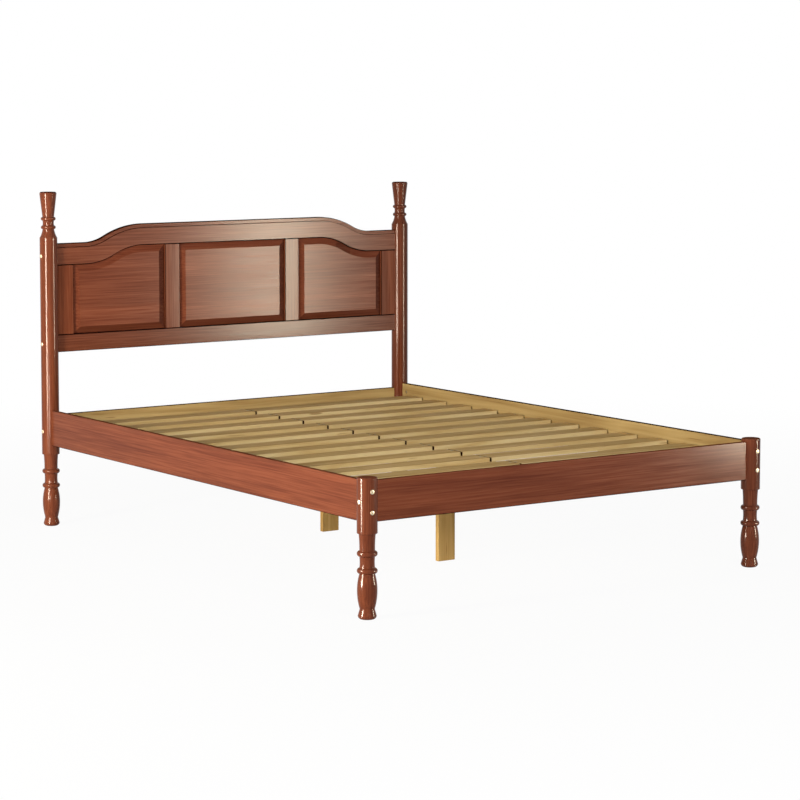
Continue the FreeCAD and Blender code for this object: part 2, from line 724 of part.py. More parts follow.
def connector_bolt():
    # the head's seat is at the origin and the shank points down
    body = doc.addObject("PartDesign::Body", "bolt_pattern")
    length = "(post_radius - seat_depth + nut_reach + bolt_beyond)"
    turned(body, [
        ("0", f"-{length}"), ("bolt_radius", f"-{length}"), ("bolt_radius", "0"), ("bolt_head_radius", "0"),
        ("bolt_head_radius", "bolt_head_rim", ("radius", "bolt_head_radius", 1)),
        ("bolt_head_radius / 2", "bolt_head_height"), ("0", "bolt_head_height")])
    socket = body.newObject("PartDesign::SubtractivePrism", "socket")
    socket.Polygon = 6
    bind(socket, Circumradius="bolt_socket_radius", Height="2 * bolt_socket_depth",
         Placement__Base__z="bolt_head_height - bolt_socket_depth")
    return body


def barrel_nut():
    # drawn from its slotted end, which is at the origin, downwards
    body = doc.addObject("PartDesign::Body", "nut_pattern")
    turned(body, [("0", "-nut_length"), ("nut_radius", "-nut_length"), ("nut_radius", "0"), ("0", "0")])
    bore(body, ("0", "-nut_radius", f"-{nut_thread}"), "y", "bolt_radius + nut_clear", "2 * nut_radius")
    box(body, "Subtractive", ("-nut_radius", "-nut_slot_width / 2", "-nut_slot_depth"),
        ("nut_radius", "nut_slot_width / 2", "nut_slot_depth"))
    return body


def wood_screw(label, grip, bite):
    # countersunk screw, its head's face at the origin and its point down
    body = doc.addObject("PartDesign::Body", label)
    point = f"({grip} + {bite})"
    turned(body, [
        ("0", f"-{point}"), ("screw_radius", f"-{point} + 2 * screw_radius"),
        ("screw_radius", "-screw_head_height"), ("screw_head_radius", "0"), ("0", "0")])
    return body


def bracket_screw():
    # round-headed screw, the head's seat at the origin and its point down
    body = doc.addObject("PartDesign::Body", "bracket_screw_pattern")
    point = "(bracket_thick + bracket_screw_bite)"
    turned(body, [
        ("0", f"-{point}"), ("screw_radius", f"-{point} + 2 * screw_radius"), ("screw_radius", "0"),
        ("screw_head_radius", "0", convex("screw_head_radius / 2", "screw_head_height")),
        ("screw_head_radius / 2", "screw_head_height"), ("0", "screw_head_height")])
    return body


screw_in_rail = "(rail_thick - 2 * screw_radius)"
nut_thread = "(rail_thick / 2 - nut_sink)"
board_nut_sink = f"(board_thick / 2 - {nut_thread})"
cradle_z = f"({beam_z} - cradle_floor)"
cradle_screw_z = f"({cradle_z} + (cradle_floor + cradle_wall) / 2)"
bracket_face = "(centre_leg_thick / 2)"
bracket_beam_screws = [
    (f"{across} * bracket_screw_offset", f"({end} * centre_leg_offset + {bracket_face} + bracket_screw_reach)")
    for end in ends.values() for across in sides.values()]

for side in sides:
    for end in ends.values():
        post(side, end)
    side_rail(side)
for end in ends.values():
    cross_rail(end)

headboard_top_rail()
headboard_bottom_rail()
for side in sides:
    stile("end", side, end_stile_x, board_end, f"({shoulder_z} - top_rail_depth)", ["inner"])
    stile("mid", side, mid_stile_in, mid_stile_out, f"({crest_z} - top_rail_depth)", ["inner", "outer"])
    panel(side, lambda grow, side=side: side_panel_outline(grow, sides[side]))
panel("centre", middle_panel_outline)

for side in sides:
    ledger(side)
    for row in range(len(slat_rows)):
        slat(side, row)
centre_beam()
for end in ends.values():
    beam_cradle(end)
    centre_leg(end)

bolt = connector_bolt()
nut = barrel_nut()
ledger_screw = wood_screw("ledger_screw_pattern", "ledger_thick", screw_in_rail)
slat_screw = wood_screw("slat_screw_pattern", "slat_thick", "screw_bite")
cradle_screw = wood_screw("cradle_screw_pattern", "cradle_depth", screw_in_rail)
angle_screw = bracket_screw()
bracket = leg_bracket()
doc.recompute()

bolt_seat = "(post_radius - seat_depth)"
side_bolts, cross_bolts, board_bolts, frame_nuts, board_nuts = [], [], [], [], []
for across in sides.values():
    out_x = along["x"] * across
    for end in ends.values():
        out_y = along["y"] * end
        middle = f"{across} * ({post_x} + {rail_mid})"
        for spread in (-1, 1):
            height = f"{rail_axis} + {spread} * bolt_spread / 2"
            side_bolts.append(((middle, f"{end} * ({post_y} + {bolt_seat})", height), out_y))
            frame_nuts.append(((f"{across} * ({inner_x} + nut_sink)", f"{end} * ({post_y} - nut_reach)",
                                height), -out_x))
        height = head_rail_axis if end > 0 else rail_axis
        cross_bolts.append(((f"{across} * ({post_x} + {bolt_seat})", f"{end} * ({post_y} + {rail_mid})",
                             height), out_x))
        frame_nuts.append(((f"{across} * ({post_x} - nut_reach)", f"{end} * ({inner_y} + nut_sink)",
                            height), -out_y, 90))
    for height in (low_bolt_z, high_bolt_z):
        board_bolts.append(((f"{across} * ({post_x} + {bolt_seat})", post_y, height), out_x))
        board_nuts.append(((f"{across} * ({post_x} - nut_reach)",
                            f"{post_y} + board_thick / 2 - {board_nut_sink}", height), along["y"], 90))
group("side_rail_bolts", bolt, side_bolts)
group("cross_rail_bolts", bolt, cross_bolts)
group("headboard_bolts", bolt, board_bolts)
group("rail_barrel_nuts", nut, frame_nuts)
group("headboard_barrel_nuts", nut, board_nuts)

group("slat_screws", slat_screw, [
    ((f"{across} * {place}", row, slat_top), along["z"])
    for across in sides.values() for place in (slat_screw_in, slat_screw_out) for row in slat_rows])
group("ledger_screws", ledger_screw, [
    ((f"{across} * ({inner_x} - ledger_thick)", row, f"{ledger_z} + ledger_height / 2"),
     along["x"] * -across)
    for across in sides.values() for row in ledger_rows])
group("cradle_screws", cradle_screw, [
    ((f"{across} * cradle_screw_offset", f"{end} * ({inner_y} - cradle_depth)", cradle_screw_z),
     along["y"] * -end)
    for across in sides.values() for end in ends.values()])
group("leg_brackets", bracket, [
    (("0", f"{end} * centre_leg_offset + {bracket_face}", beam_z), along["z"]) for end in ends.values()])
group("leg_bracket_screws", angle_screw, [
    ((spot[0], spot[1], f"{beam_z} - bracket_thick"), -along["z"]) for spot in bracket_beam_screws
] + [
    ((f"{across} * bracket_screw_offset", f"{end} * centre_leg_offset + {bracket_face} + bracket_thick",
      f"{beam_z} - bracket_screw_reach"), along["y"])
    for end in ends.values() for across in sides.values()])

doc.recompute()
for item in doc.Objects:
    if "Invalid" in item.State or "Error" in item.State:
        raise RuntimeError(f"{item.Label} failed: {item.State}")
for node in nodes:
    if node.Shape.isNull() or not node.Shape.isValid():
        raise RuntimeError(f"{node.Label} has no valid shape")

os.makedirs("parts", exist_ok=True)
for node in nodes:
    node.Shape.exportStep(f"parts/{node.Label}.step")
print(len(nodes), "pieces written")
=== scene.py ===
import bpy
import math
import random
from mathutils import Matrix, Vector


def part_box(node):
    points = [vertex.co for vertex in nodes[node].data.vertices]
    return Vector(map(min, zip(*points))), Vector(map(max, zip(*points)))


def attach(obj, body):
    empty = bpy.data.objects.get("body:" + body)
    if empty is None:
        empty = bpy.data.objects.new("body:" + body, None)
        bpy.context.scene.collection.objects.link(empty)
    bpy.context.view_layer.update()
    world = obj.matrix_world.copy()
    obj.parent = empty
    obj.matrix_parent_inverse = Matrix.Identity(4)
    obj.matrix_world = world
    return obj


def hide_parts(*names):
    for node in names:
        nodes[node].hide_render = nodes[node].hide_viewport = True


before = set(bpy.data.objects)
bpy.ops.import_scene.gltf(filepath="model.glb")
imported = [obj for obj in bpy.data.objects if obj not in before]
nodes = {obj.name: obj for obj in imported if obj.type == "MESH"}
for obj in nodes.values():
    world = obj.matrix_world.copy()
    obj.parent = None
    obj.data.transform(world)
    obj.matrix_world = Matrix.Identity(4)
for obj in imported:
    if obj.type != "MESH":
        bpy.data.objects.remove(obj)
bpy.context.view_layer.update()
mm = 0.001
cutPast = 0.02  # metres that a cutter runs past the wood
print("frame loaded:", len(nodes), "nodes")


# small helpers

def freshStart():
    if bpy.context.mode != "OBJECT":
        bpy.ops.object.mode_set(mode="OBJECT")
    bpy.ops.object.select_all(action="DESELECT")


def pick(piece):
    freshStart()
    piece.select_set(True)
    bpy.context.view_layer.objects.active = piece


def applyPlace(piece):
    pick(piece)
    bpy.ops.object.transform_apply(location=True, rotation=True, scale=True)


def applyModifier(piece, kind, **settings):
    pick(piece)
    modifier = piece.modifiers.new(kind.lower(), kind)
    for name, value in settings.items():
        setattr(modifier, name, value)
    bpy.ops.object.modifier_apply(modifier=modifier.name)


def easeEdges(piece, width, segments=3):
    applyModifier(piece, "BEVEL", width=width, segments=segments, limit_method="ANGLE",
                  angle_limit=math.radians(40))


# edges picked by their two ends, then bevelled
def bevelWhere(piece, width, segments, chosen):
    pick(piece)
    bpy.ops.object.mode_set(mode="EDIT")
    bpy.ops.mesh.select_mode(type="EDGE")
    bpy.ops.mesh.select_all(action="DESELECT")
    bpy.ops.object.mode_set(mode="OBJECT")
    for edge in piece.data.edges:
        first, last = [piece.data.vertices[k].co for k in edge.vertices]
        edge.select = chosen(first, last)
    bpy.ops.object.mode_set(mode="EDIT")
    bpy.ops.mesh.bevel(offset=width, segments=segments, affect="EDGES")
    bpy.ops.mesh.select_mode(type="VERT")
    bpy.ops.object.mode_set(mode="OBJECT")


def cutAway(piece, cutters):
    for cutter in cutters:
        applyModifier(piece, "BOOLEAN", object=cutter, operation="DIFFERENCE", solver="EXACT")
        bpy.data.objects.remove(cutter)


def smoothShade(piece, angle=32):
    pick(piece)
    bpy.ops.object.shade_smooth_by_angle(angle=math.radians(angle))
    applyModifier(piece, "WEIGHTED_NORMAL", mode="FACE_AREA", weight=50, keep_sharp=True)


def faceOutwards(piece):
    pick(piece)
    bpy.ops.object.mode_set(mode="EDIT")
    bpy.ops.mesh.select_all(action="SELECT")
    bpy.ops.mesh.remove_doubles(threshold=0.02 * mm)
    bpy.ops.mesh.normals_make_consistent(inside=False)
    bpy.ops.object.mode_set(mode="OBJECT")


def addBlock(name, low, high):
    freshStart()
    low, high = Vector(low), Vector(high)
    bpy.ops.mesh.primitive_cube_add(size=1, location=(low + high) / 2, scale=high - low)
    block = bpy.context.object
    block.name = name
    applyPlace(block)
    return block


def addRod(name, start, heading, radius, length, sides=40):
    freshStart()
    heading = Vector(heading).normalized()
    turn = heading.to_track_quat("Z", "Y").to_euler()
    bpy.ops.mesh.primitive_cylinder_add(vertices=sides, radius=radius, depth=length,
                                        location=Vector(start) + heading * length / 2, rotation=turn)
    rod = bpy.context.object
    rod.name = name
    applyPlace(rod)
    return rod


# a line drawn point by point, left in edit mode with its last point selected
def drawLine(name, spots):
    freshStart()
    bpy.ops.mesh.primitive_plane_add(size=mm, location=spots[0])
    piece = bpy.context.object
    piece.name = name
    applyPlace(piece)
    bpy.ops.object.mode_set(mode="EDIT")
    bpy.ops.mesh.select_all(action="SELECT")
    bpy.ops.mesh.merge(type="CENTER")
    for here, there in zip(spots, spots[1:]):
        bpy.ops.mesh.extrude_region_move(TRANSFORM_OT_translate={"value": Vector(there) - Vector(here)})
    return piece


# points of a bowed line between two points, without the first
def bowLine(first, last, bow, count):
    first, last = Vector(first), Vector(last)
    chord = last - first
    if abs(bow) < 1e-6:
        return [last]
    radius = (chord.length_squared / 4 + bow * bow) / (2 * abs(bow))
    outward = Vector((chord.y, -chord.x)).normalized() * math.copysign(1, bow)
    centre = (first + last) / 2 + outward * (abs(bow) - radius)
    sweep = 2 * math.atan2(chord.length / 2, radius - abs(bow)) * math.copysign(1, bow)
    arm = first - centre
    spots = []
    for step in range(1, count + 1):
        angle = sweep * step / count
        spots.append(centre + Matrix.Rotation(angle, 2) @ arm)
    return spots


def spinRound(piece, centre, steps):
    bpy.ops.mesh.select_all(action="SELECT")
    bpy.ops.mesh.spin(steps=steps, angle=2 * math.pi, center=centre, axis=(0, 0, 1))
    faceOutwards(piece)


# grain runs along one axis; every board gets its own stretch of the log and its own depth of colour, which on
# the right head post and the slat rows is painted shade
def markGrain(piece, along, seed, tone):
    order = {"x": (0, 1, 2), "y": (1, 0, 2), "z": (2, 0, 1)}[along]
    draw = random.Random(seed)
    shift = [draw.uniform(-3, 3), draw.uniform(-0.6, 0.6), draw.uniform(-0.6, 0.6)]
    layer = piece.data.attributes.new("grain", "FLOAT_VECTOR", "POINT")
    values = []
    for vertex in piece.data.vertices:
        values.extend(vertex.co[order[k]] + shift[k] for k in range(3))
    layer.data.foreach_set("vector", values)
    depth = piece.data.attributes.new("tone", "FLOAT", "POINT")
    depth.data.foreach_set("value", [tone] * len(piece.data.vertices))


def assign(piece, node):
    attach(piece, "root")
    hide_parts(node)


def dress(piece, node, along, seed, tone=1.0):
    markGrain(piece, along, seed, tone)
    assign(piece, node)


def paint(piece, materials, choose):
    piece.data.materials.clear()
    for material in materials:
        piece.data.materials.append(material)
    for face in piece.data.polygons:
        face.material_index = choose(face)


def paintAll(piece, material):
    paint(piece, [material], lambda face: 0)


# materials

def linear(hexColour):
    parts = [int(hexColour[k:k + 2], 16) / 255 for k in (1, 3, 5)]
    return tuple(c / 12.92 if c <= 0.04045 else ((c + 0.055) / 1.055) ** 2.4 for c in parts) + (1.0,)


def addNode(tree, kind, inputs=None, **settings):
    node = tree.nodes.new(kind)
    for name, value in settings.items():
        setattr(node, name, value)
    for socket, value in (inputs or {}).items():
        if isinstance(value, bpy.types.NodeSocket):
            tree.links.new(value, node.inputs[socket])
        else:
            node.inputs[socket].default_value = value
    return node


def newMaterial(name):
    material = bpy.data.materials.new(name)
    material.use_nodes = True
    tree = material.node_tree
    tree.nodes.clear()
    return material, tree


def setRamp(node, stops):
    elements = node.color_ramp.elements
    while len(elements) < len(stops):
        elements.new(0.5)
    for element, (place, colour) in zip(elements, stops):
        element.position = place
        element.color = linear(colour)


# Stained hardwood: planed rubberwood boards, a red-brown dye stain, then sprayed lacquer. The eye sees
# long soft streaks along the board, a slow drift of tone and a satin sheen that breaks up along the fibre.
# Real fibres are well under 1 mm wide, too fine to show, so the streaks are drawn about 4 mm wide.
stainedLook = {
    "dark": "#592a1a", "middle": "#6b3723", "light": "#7e442d",
    "streakLength": 0.24, "streakWidth": 0.0045,
    "figureLength": 0.9, "figureWidth": 0.055,
    "grainDepth": 0.12 * mm, "stops": (0.35, 0.5, 0.65), "roughSpread": 0.045,
}
# painted shade: the slopes of the raised panels are coloured darker than the stain, darkest at the bottom
# and the right, which face away from the light
shadedBevelLook = {**stainedLook, "dark": "#532718", "middle": "#633220", "light": "#743e29"}
deepShadedBevelLook = {**stainedLook, "dark": "#472114", "middle": "#542a1b", "light": "#623523"}


def stainedWood(name, look, gloss, rough, relief=0.3):
    material, tree = newMaterial(name)
    grain = addNode(tree, "ShaderNodeAttribute", attribute_name="grain").outputs["Vector"]
    depth = addNode(tree, "ShaderNodeAttribute", attribute_name="tone").outputs["Fac"]
    streakSpace = addNode(tree, "ShaderNodeMapping", {"Vector": grain, "Scale": (
        1 / look["streakLength"], 1 / look["streakWidth"], 1 / look["streakWidth"])})
    streak = addNode(tree, "ShaderNodeTexNoise", {
        "Vector": streakSpace.outputs[0], "Scale": 1.0, "Detail": 4.0, "Roughness": 0.6, "Distortion": 0.25})
    figureSpace = addNode(tree, "ShaderNodeMapping", {"Vector": grain, "Scale": (
        1 / look["figureLength"], 1 / look["figureWidth"], 1 / look["figureWidth"])})
    figure = addNode(tree, "ShaderNodeTexNoise", {
        "Vector": figureSpace.outputs[0], "Scale": 1.0, "Detail": 3.0, "Roughness": 0.5, "Distortion": 0.6})
    mixed = addNode(tree, "ShaderNodeMix", {
        "Factor": 0.4, "A": streak.outputs["Fac"], "B": figure.outputs["Fac"]}, data_type="FLOAT")
    colour = addNode(tree, "ShaderNodeValToRGB", {"Fac": mixed.outputs["Result"]})
    setRamp(colour, list(zip(look["stops"], (look["dark"], look["middle"], look["light"]))))
    toned = addNode(tree, "ShaderNodeVectorMath", {
        0: colour.outputs["Color"], "Scale": depth}, operation="SCALE")
    roughness = addNode(tree, "ShaderNodeMapRange", {
        "Value": streak.outputs["Fac"], "From Min": 0.3, "From Max": 0.7,
        "To Min": rough - look["roughSpread"], "To Max": rough + look["roughSpread"]})
    bump = addNode(tree, "ShaderNodeBump", {
        "Height": streak.outputs["Fac"], "Strength": relief, "Distance": look["grainDepth"]})
    shader = addNode(tree, "ShaderNodeBsdfPrincipled", {
        "Base Color": toned.outputs["Vector"], "Roughness": roughness.outputs["Result"],
        "Normal": bump.outputs["Normal"], "IOR": 1.45, "Specular IOR Level": gloss})
    addNode(tree, "ShaderNodeOutputMaterial", {"Surface": shader.outputs[0]})
    return material


# Painted shade: a matt copy of the stain without lacquer; near-black on the tops of the finials, the crest
# and the far rails, in the joints and on the undersides, and a lighter copy on the tops nearer the light.
def mattShadePaint(name, dark, light):
    material, tree = newMaterial(name)
    grain = addNode(tree, "ShaderNodeAttribute", attribute_name="grain").outputs["Vector"]
    space = addNode(tree, "ShaderNodeMapping", {"Vector": grain, "Scale": (
        1 / stainedLook["streakLength"], 1 / stainedLook["streakWidth"], 1 / stainedLook["streakWidth"])})
    streak = addNode(tree, "ShaderNodeTexNoise", {"Vector": space.outputs[0], "Scale": 1.0, "Detail": 3.0})
    colour = addNode(tree, "ShaderNodeValToRGB", {"Fac": streak.outputs["Fac"]})
    setRamp(colour, [(0.35, dark), (0.65, light)])
    shader = addNode(tree, "ShaderNodeBsdfPrincipled", {
        "Base Color": colour.outputs["Color"], "Roughness": 0.75, "Specular IOR Level": 0.0})
    addNode(tree, "ShaderNodeOutputMaterial", {"Surface": shader.outputs[0]})
    return material


# Bare pine: planed, unsealed softwood. The eye sees wide pale early wood between darker late-wood lines,
# drawn out along the board, a few resin streaks, and no gloss to speak of.
pineLook = {
    "pale": "#d2bd8e", "middle": "#cab27f", "late": "#ba9d68", "resin": "#7d5a2c",
    "streakLength": 0.3, "streakWidth": 0.006, "grainDepth": 0.2 * mm,
}
# painted light: the slat tops are a warmer, lighter copy of the pine, in place of warmer light falling on
# them
warmLitPineTopLook = {**pineLook, "pale": "#dab881", "middle": "#d0af74", "late": "#c09a5e"}
pineFrameLook = {**pineLook, "pale": "#c4a36a", "middle": "#b2915a", "late": "#98774a", "resin": "#6d4a20"}
pineRailLook = {**pineLook, "pale": "#ab9263", "middle": "#9e8557", "late": "#8b7046", "resin": "#7d623c"}
# growth rings are soft patches of this size, each cut into bands; resin lies in short thin streaks
pineFigure = {
    "patchLength": 10 / 9, "patchWidth": 1 / 12, "bands": 9.0,
    "resinLength": 1 / 9, "resinWidth": 1 / 120, "resinFrom": 0.72, "resinFull": 0.8, "resinShare": 0.7,
}


def barePine(name, look):
    material, tree = newMaterial(name)
    grain = addNode(tree, "ShaderNodeAttribute", attribute_name="grain").outputs["Vector"]
    depth = addNode(tree, "ShaderNodeAttribute", attribute_name="tone").outputs["Fac"]
    figure = pineFigure
    ringSpace = addNode(tree, "ShaderNodeMapping", {"Vector": grain, "Scale": (
        1 / figure["patchLength"], 1 / figure["patchWidth"], 1 / figure["patchWidth"])})
    warp = addNode(tree, "ShaderNodeTexNoise", {
        "Vector": ringSpace.outputs[0], "Scale": 1.0, "Detail": 2.0, "Roughness": 0.5})
    rings = addNode(tree, "ShaderNodeMath", {
        0: warp.outputs["Fac"], 1: figure["bands"]}, operation="MULTIPLY")
    bands = addNode(tree, "ShaderNodeMath", {0: rings.outputs[0], 1: 1.0}, operation="PINGPONG")
    streakSpace = addNode(tree, "ShaderNodeMapping", {"Vector": grain, "Scale": (
        1 / look["streakLength"], 1 / look["streakWidth"], 1 / look["streakWidth"])})
    streak = addNode(tree, "ShaderNodeTexNoise", {
        "Vector": streakSpace.outputs[0], "Scale": 1.0, "Detail": 4.0, "Roughness": 0.6, "Distortion": 0.2})
    tone = addNode(tree, "ShaderNodeMix", {
        "Factor": 0.6, "A": bands.outputs[0], "B": streak.outputs["Fac"]}, data_type="FLOAT")
    colour = addNode(tree, "ShaderNodeValToRGB", {"Fac": tone.outputs["Result"]})
    setRamp(colour, [(0.25, look["late"]), (0.5, look["middle"]), (0.75, look["pale"])])
    resinSpace = addNode(tree, "ShaderNodeMapping", {"Vector": grain, "Scale": (
        1 / figure["resinLength"], 1 / figure["resinWidth"], 1 / figure["resinWidth"])})
    resin = addNode(tree, "ShaderNodeTexNoise", {
        "Vector": resinSpace.outputs[0], "Scale": 1.0, "Detail": 1.0, "Roughness": 0.4})
    resinMask = addNode(tree, "ShaderNodeMapRange", {
        "Value": resin.outputs["Fac"], "From Min": figure["resinFrom"], "From Max": figure["resinFull"],
        "To Min": 0.0, "To Max": figure["resinShare"]})
    marked = addNode(tree, "ShaderNodeMix", {
        "Factor": resinMask.outputs["Result"], "A": colour.outputs["Color"], "B": linear(look["resin"])},
        data_type="RGBA")
    toned = addNode(tree, "ShaderNodeVectorMath", {
        0: marked.outputs["Result"], "Scale": depth}, operation="SCALE")
    bump = addNode(tree, "ShaderNodeBump", {
        "Height": streak.outputs["Fac"], "Strength": 0.3, "Distance": look["grainDepth"]})
    shader = addNode(tree, "ShaderNodeBsdfPrincipled", {
        "Base Color": toned.outputs["Vector"], "Roughness": 0.62, "Normal": bump.outputs["Normal"],
        "IOR": 1.45, "Specular IOR Level": 0.02})
    addNode(tree, "ShaderNodeOutputMaterial", {"Surface": shader.outputs[0]})
    return material


# Sawn end grain of the same pine: open pores make it darker, and the colour is taken near-black as painted
# shade in the narrow gaps between the slat ends and at the rails.
def sawnEndShade(name, dark, light):
    material, tree = newMaterial(name)
    place = addNode(tree, "ShaderNodeTexCoord").outputs["Object"]
    pores = addNode(tree, "ShaderNodeTexNoise", {"Vector": place, "Scale": 1 / (2.5 * mm), "Detail": 3.0})
    colour = addNode(tree, "ShaderNodeValToRGB", {"Fac": pores.outputs["Fac"]})
    setRamp(colour, [(0.35, dark), (0.65, light)])
    shader = addNode(tree, "ShaderNodeBsdfPrincipled", {
        "Base Color": colour.outputs["Color"], "Roughness": 0.9, "Specular IOR Level": 0.0})
    addNode(tree, "ShaderNodeOutputMaterial", {"Surface": shader.outputs[0]})
    return material


# Plated steel: nickel on the bolts, zinc on screws, nuts and brackets. Rolled or drummed, so a fine grain
# of scratches blurs the shine; the grit is drawn 1.5 mm wide because the real one can't be seen.
def platedSteel(name, colour, worn, rough, metallic):
    material, tree = newMaterial(name)
    place = addNode(tree, "ShaderNodeTexCoord").outputs["Object"]
    grit = addNode(tree, "ShaderNodeTexNoise", {"Vector": place, "Scale": 1 / (1.5 * mm), "Detail": 2.0})
    tint = addNode(tree, "ShaderNodeValToRGB", {"Fac": grit.outputs["Fac"]})
    setRamp(tint, [(0.3, worn), (0.7, colour)])
    roughness = addNode(tree, "ShaderNodeMapRange", {
        "Value": grit.outputs["Fac"], "From Min": 0.3, "From Max": 0.7,
        "To Min": rough - 0.06, "To Max": rough + 0.08})
    shader = addNode(tree, "ShaderNodeBsdfPrincipled", {
        "Base Color": tint.outputs["Color"], "Roughness": roughness.outputs["Result"], "Metallic": metallic})
    addNode(tree, "ShaderNodeOutputMaterial", {"Surface": shader.outputs[0]})
    return material


boardStain = stainedWood("stainedRubberwoodBoard", stainedLook, 0.09, 0.19)
panelStain = stainedWood("stainedRubberwoodPanel", stainedLook, 0.07, 0.19)
shadedBevelStain = stainedWood("stainedRubberwoodBevel", shadedBevelLook, 0.07, 0.19)
deepShadedBevelStain = stainedWood("stainedRubberwoodLowBevel", deepShadedBevelLook, 0.05, 0.19)
endStain = stainedWood("stainedRubberwoodEndStile", stainedLook, 0.035, 0.19)
turnedStain = stainedWood("stainedRubberwoodTurned", stainedLook, 0.11, 0.15, 0.05)
shadedTopPaint = mattShadePaint("stainedRubberwoodEdge", "#241009", "#38190e")
litTopPaint = mattShadePaint("stainedRubberwoodWornEdge", "#6e3f2b", "#85503a")
pineBare = barePine("barePlanedPine", pineLook)
warmLitPineTop = barePine("yellowedPlanedPine", warmLitPineTopLook)
pineFrame = barePine("bareFramePine", pineFrameLook)
pineRail = barePine("bareRailPine", pineRailLook)
pineEndShade = sawnEndShade("sawnPineEnd", "#22140a", "#3a2412")
jointShade = mattShadePaint("stainInJoints", "#0e0402", "#180804")
boltNickel = platedSteel("satinNickelPlate", "#c6b9a1", "#aca088", 0.46, 1.0)
screwZinc = platedSteel("zincPlate", "#aca691", "#8e8875", 0.4, 1.0)
print("materials made")


def isTop(face):
    return face.normal.z > 0.8


# turned posts: radius, height and the bow of the line up to the next point, all in mm
posts = {
    "leg": [(0, 0, 0), (21, 0, 2.23), (29, 10.5, 0), (23.2, 31, 2.06), (31.4, 88, 1.86), (24, 139.4, 8),
            (24, 157.4, -1), (24, 192, 8), (24, 210, -0.7), (26.3, 263, 0), (30, 263, 0.586), (32, 265, 0)],
    "cap": [(32, 431, 1.17), (28, 435, 0), (0, 435, 0)],
    "finial": [(32, 1053, -1.7), (21, 1084, 6), (21, 1098, -1), (21, 1115, 6), (21, 1129, 0),
               (31, 1213, 1.76), (25, 1219, 0), (0, 1219, 0)],
    "radius": 32, "mortise": 14, "boardMortise": 12, "clear": 0.2, "seatRadius": 7.8, "seatDepth": 1.5,
    "seatLength": 12, "boltSpread": 31.75, "railMid": 2.0, "endDepth": 3, "bowSteps": 14, "turnSteps": 72,
}


def turnPost(node, name, top, tone):
    low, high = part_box(node)
    middle = (low + high) / 2
    across, end = math.copysign(1, middle.x), math.copysign(1, middle.y)
    centre = Vector((middle.x, middle.y, 0))
    points = posts["leg"] + posts[top]
    line = [Vector((points[0][0], points[0][1]))]
    for here, there in zip(points, points[1:]):
        line.extend(bowLine(here[:2], there[:2], here[2], posts["bowSteps"]))
    post = drawLine(name, [centre + Vector((spot.x, 0, spot.y)) * mm for spot in line])
    spinRound(post, centre, posts["turnSteps"])
    reach = posts["radius"] * 2 * mm
    clear = posts["clear"] * mm
    cutters = []

    def mortise(node, depth, way):
        boardLow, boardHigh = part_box(node)
        seat = (posts["radius"] - depth) * mm
        start, stop = boardLow - Vector((clear, clear, 0)), boardHigh + Vector((clear, clear, clear))
        axis = 0 if way == "x" else 1
        sign = across if way == "x" else end
        near, far = centre[axis] - sign * seat, centre[axis] - sign * reach
        start[axis], stop[axis] = min(near, far), max(near, far)
        cutters.append(addBlock("mortise", start, stop))

    def boltSeat(way, offset, height):
        face = (posts["radius"] - posts["seatDepth"]) * mm
        heading = Vector((across, 0, 0)) if way == "x" else Vector((0, end, 0))
        sideways = Vector((0, offset, 0)) if way == "x" else Vector((offset, 0, 0))
        start = centre + heading * face + sideways * mm + Vector((0, 0, height))
        length = posts["seatLength"] * mm
        cutters.append(addRod("boltSeat", start, heading, posts["seatRadius"] * mm, length))

    side = "left" if across < 0 else "right"
    mortise("side_rail_" + side, posts["mortise"], "y")
    crossRail = "head_rail" if end > 0 else "foot_rail"
    mortise(crossRail, posts["mortise"], "x")
    railLow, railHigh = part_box("side_rail_" + side)
    railMiddle = (railLow.z + railHigh.z) / 2
    for spread in (-1, 1):
        boltSeat("y", across * posts["railMid"], railMiddle + spread * posts["boltSpread"] * mm)
    crossLow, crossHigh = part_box(crossRail)
    boltSeat("x", end * posts["railMid"], (crossLow.z + crossHigh.z) / 2)
    if end > 0:
        boardLow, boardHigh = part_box("headboard_end_stile_" + side)
        railLow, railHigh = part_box("headboard_bottom_rail")
        seat = (posts["radius"] - posts["boardMortise"]) * mm
        near, far = centre.x - across * seat, centre.x - across * reach
        cutters.append(addBlock("groove", (min(near, far), boardLow.y - clear, railLow.z),
                                (max(near, far), boardHigh.y + clear, headboard["shoulder"] * mm + clear)))
        for height in headboard["bolts"]:
            boltSeat("x", 0, height * mm)
    cutAway(post, cutters)
    smoothShade(post, 38)
    # painted shade: the finial tops are near-black; the lower caps, nearer the light, take the lighter copy
    paintedPostTop = shadedTopPaint if top == "finial" else litTopPaint
    endFrom = high.z - posts["endDepth"] * mm
    paint(post, [turnedStain, paintedPostTop], lambda face: 1 if isTop(face) and face.center.z > endFrom else 0)
    dress(post, node, "z", name, tone)


# headboard, in mm: crest line from the middle outwards, then what is let into it
headboard = {
    "crest": 1092.5, "shoulder": 1031.0, "near": 385.2, "far": 626.0, "crestRadius": 334.0,
    "hollowRadius": 170.0, "depth": 78.5, "half": 11.0, "moulding": 15.5, "mouldingDepth": 3.0, "arris": 0.9,
    "round": 3.0, "cove": 2.0, "lip": 0.5, "groove": 3.2, "grooveDepth": 9.0, "edgeDrop": 4.0,
    "end": 752.5, "bolts": (666.5, 986.75), "panelTongue": 8.0, "tongue": 3.0, "margin": 2.0, "bevel": 24.0,
    "fieldRise": 7.0, "ease": 2.0,
}

# painted shade: the right head post is coloured darker, as the light falls off towards the right
for side, tone in (("left", 1.0), ("right", 0.74)):
    turnPost("headboard_post_" + side, "headPost" + side.title(), "finial", tone)
    turnPost("foot_post_" + side, "footPost" + side.title(), "cap", 0.84)
print("posts turned")


# rails of the frame: stained outside, left bare inside; the top faces carry painted shade, near-black on the
# far rails and lighter on the near ones, and the undersides are near-black painted shade
rails = {
    "ease": 2.0, "nutRadius": 5.2, "nutBore": 15.7, "nutReach": 57.5, "boreLength": 20, "boltSpread": 31.75,
    "postsAt": (772.5, 1035, 0), "skin": 0.3,
}


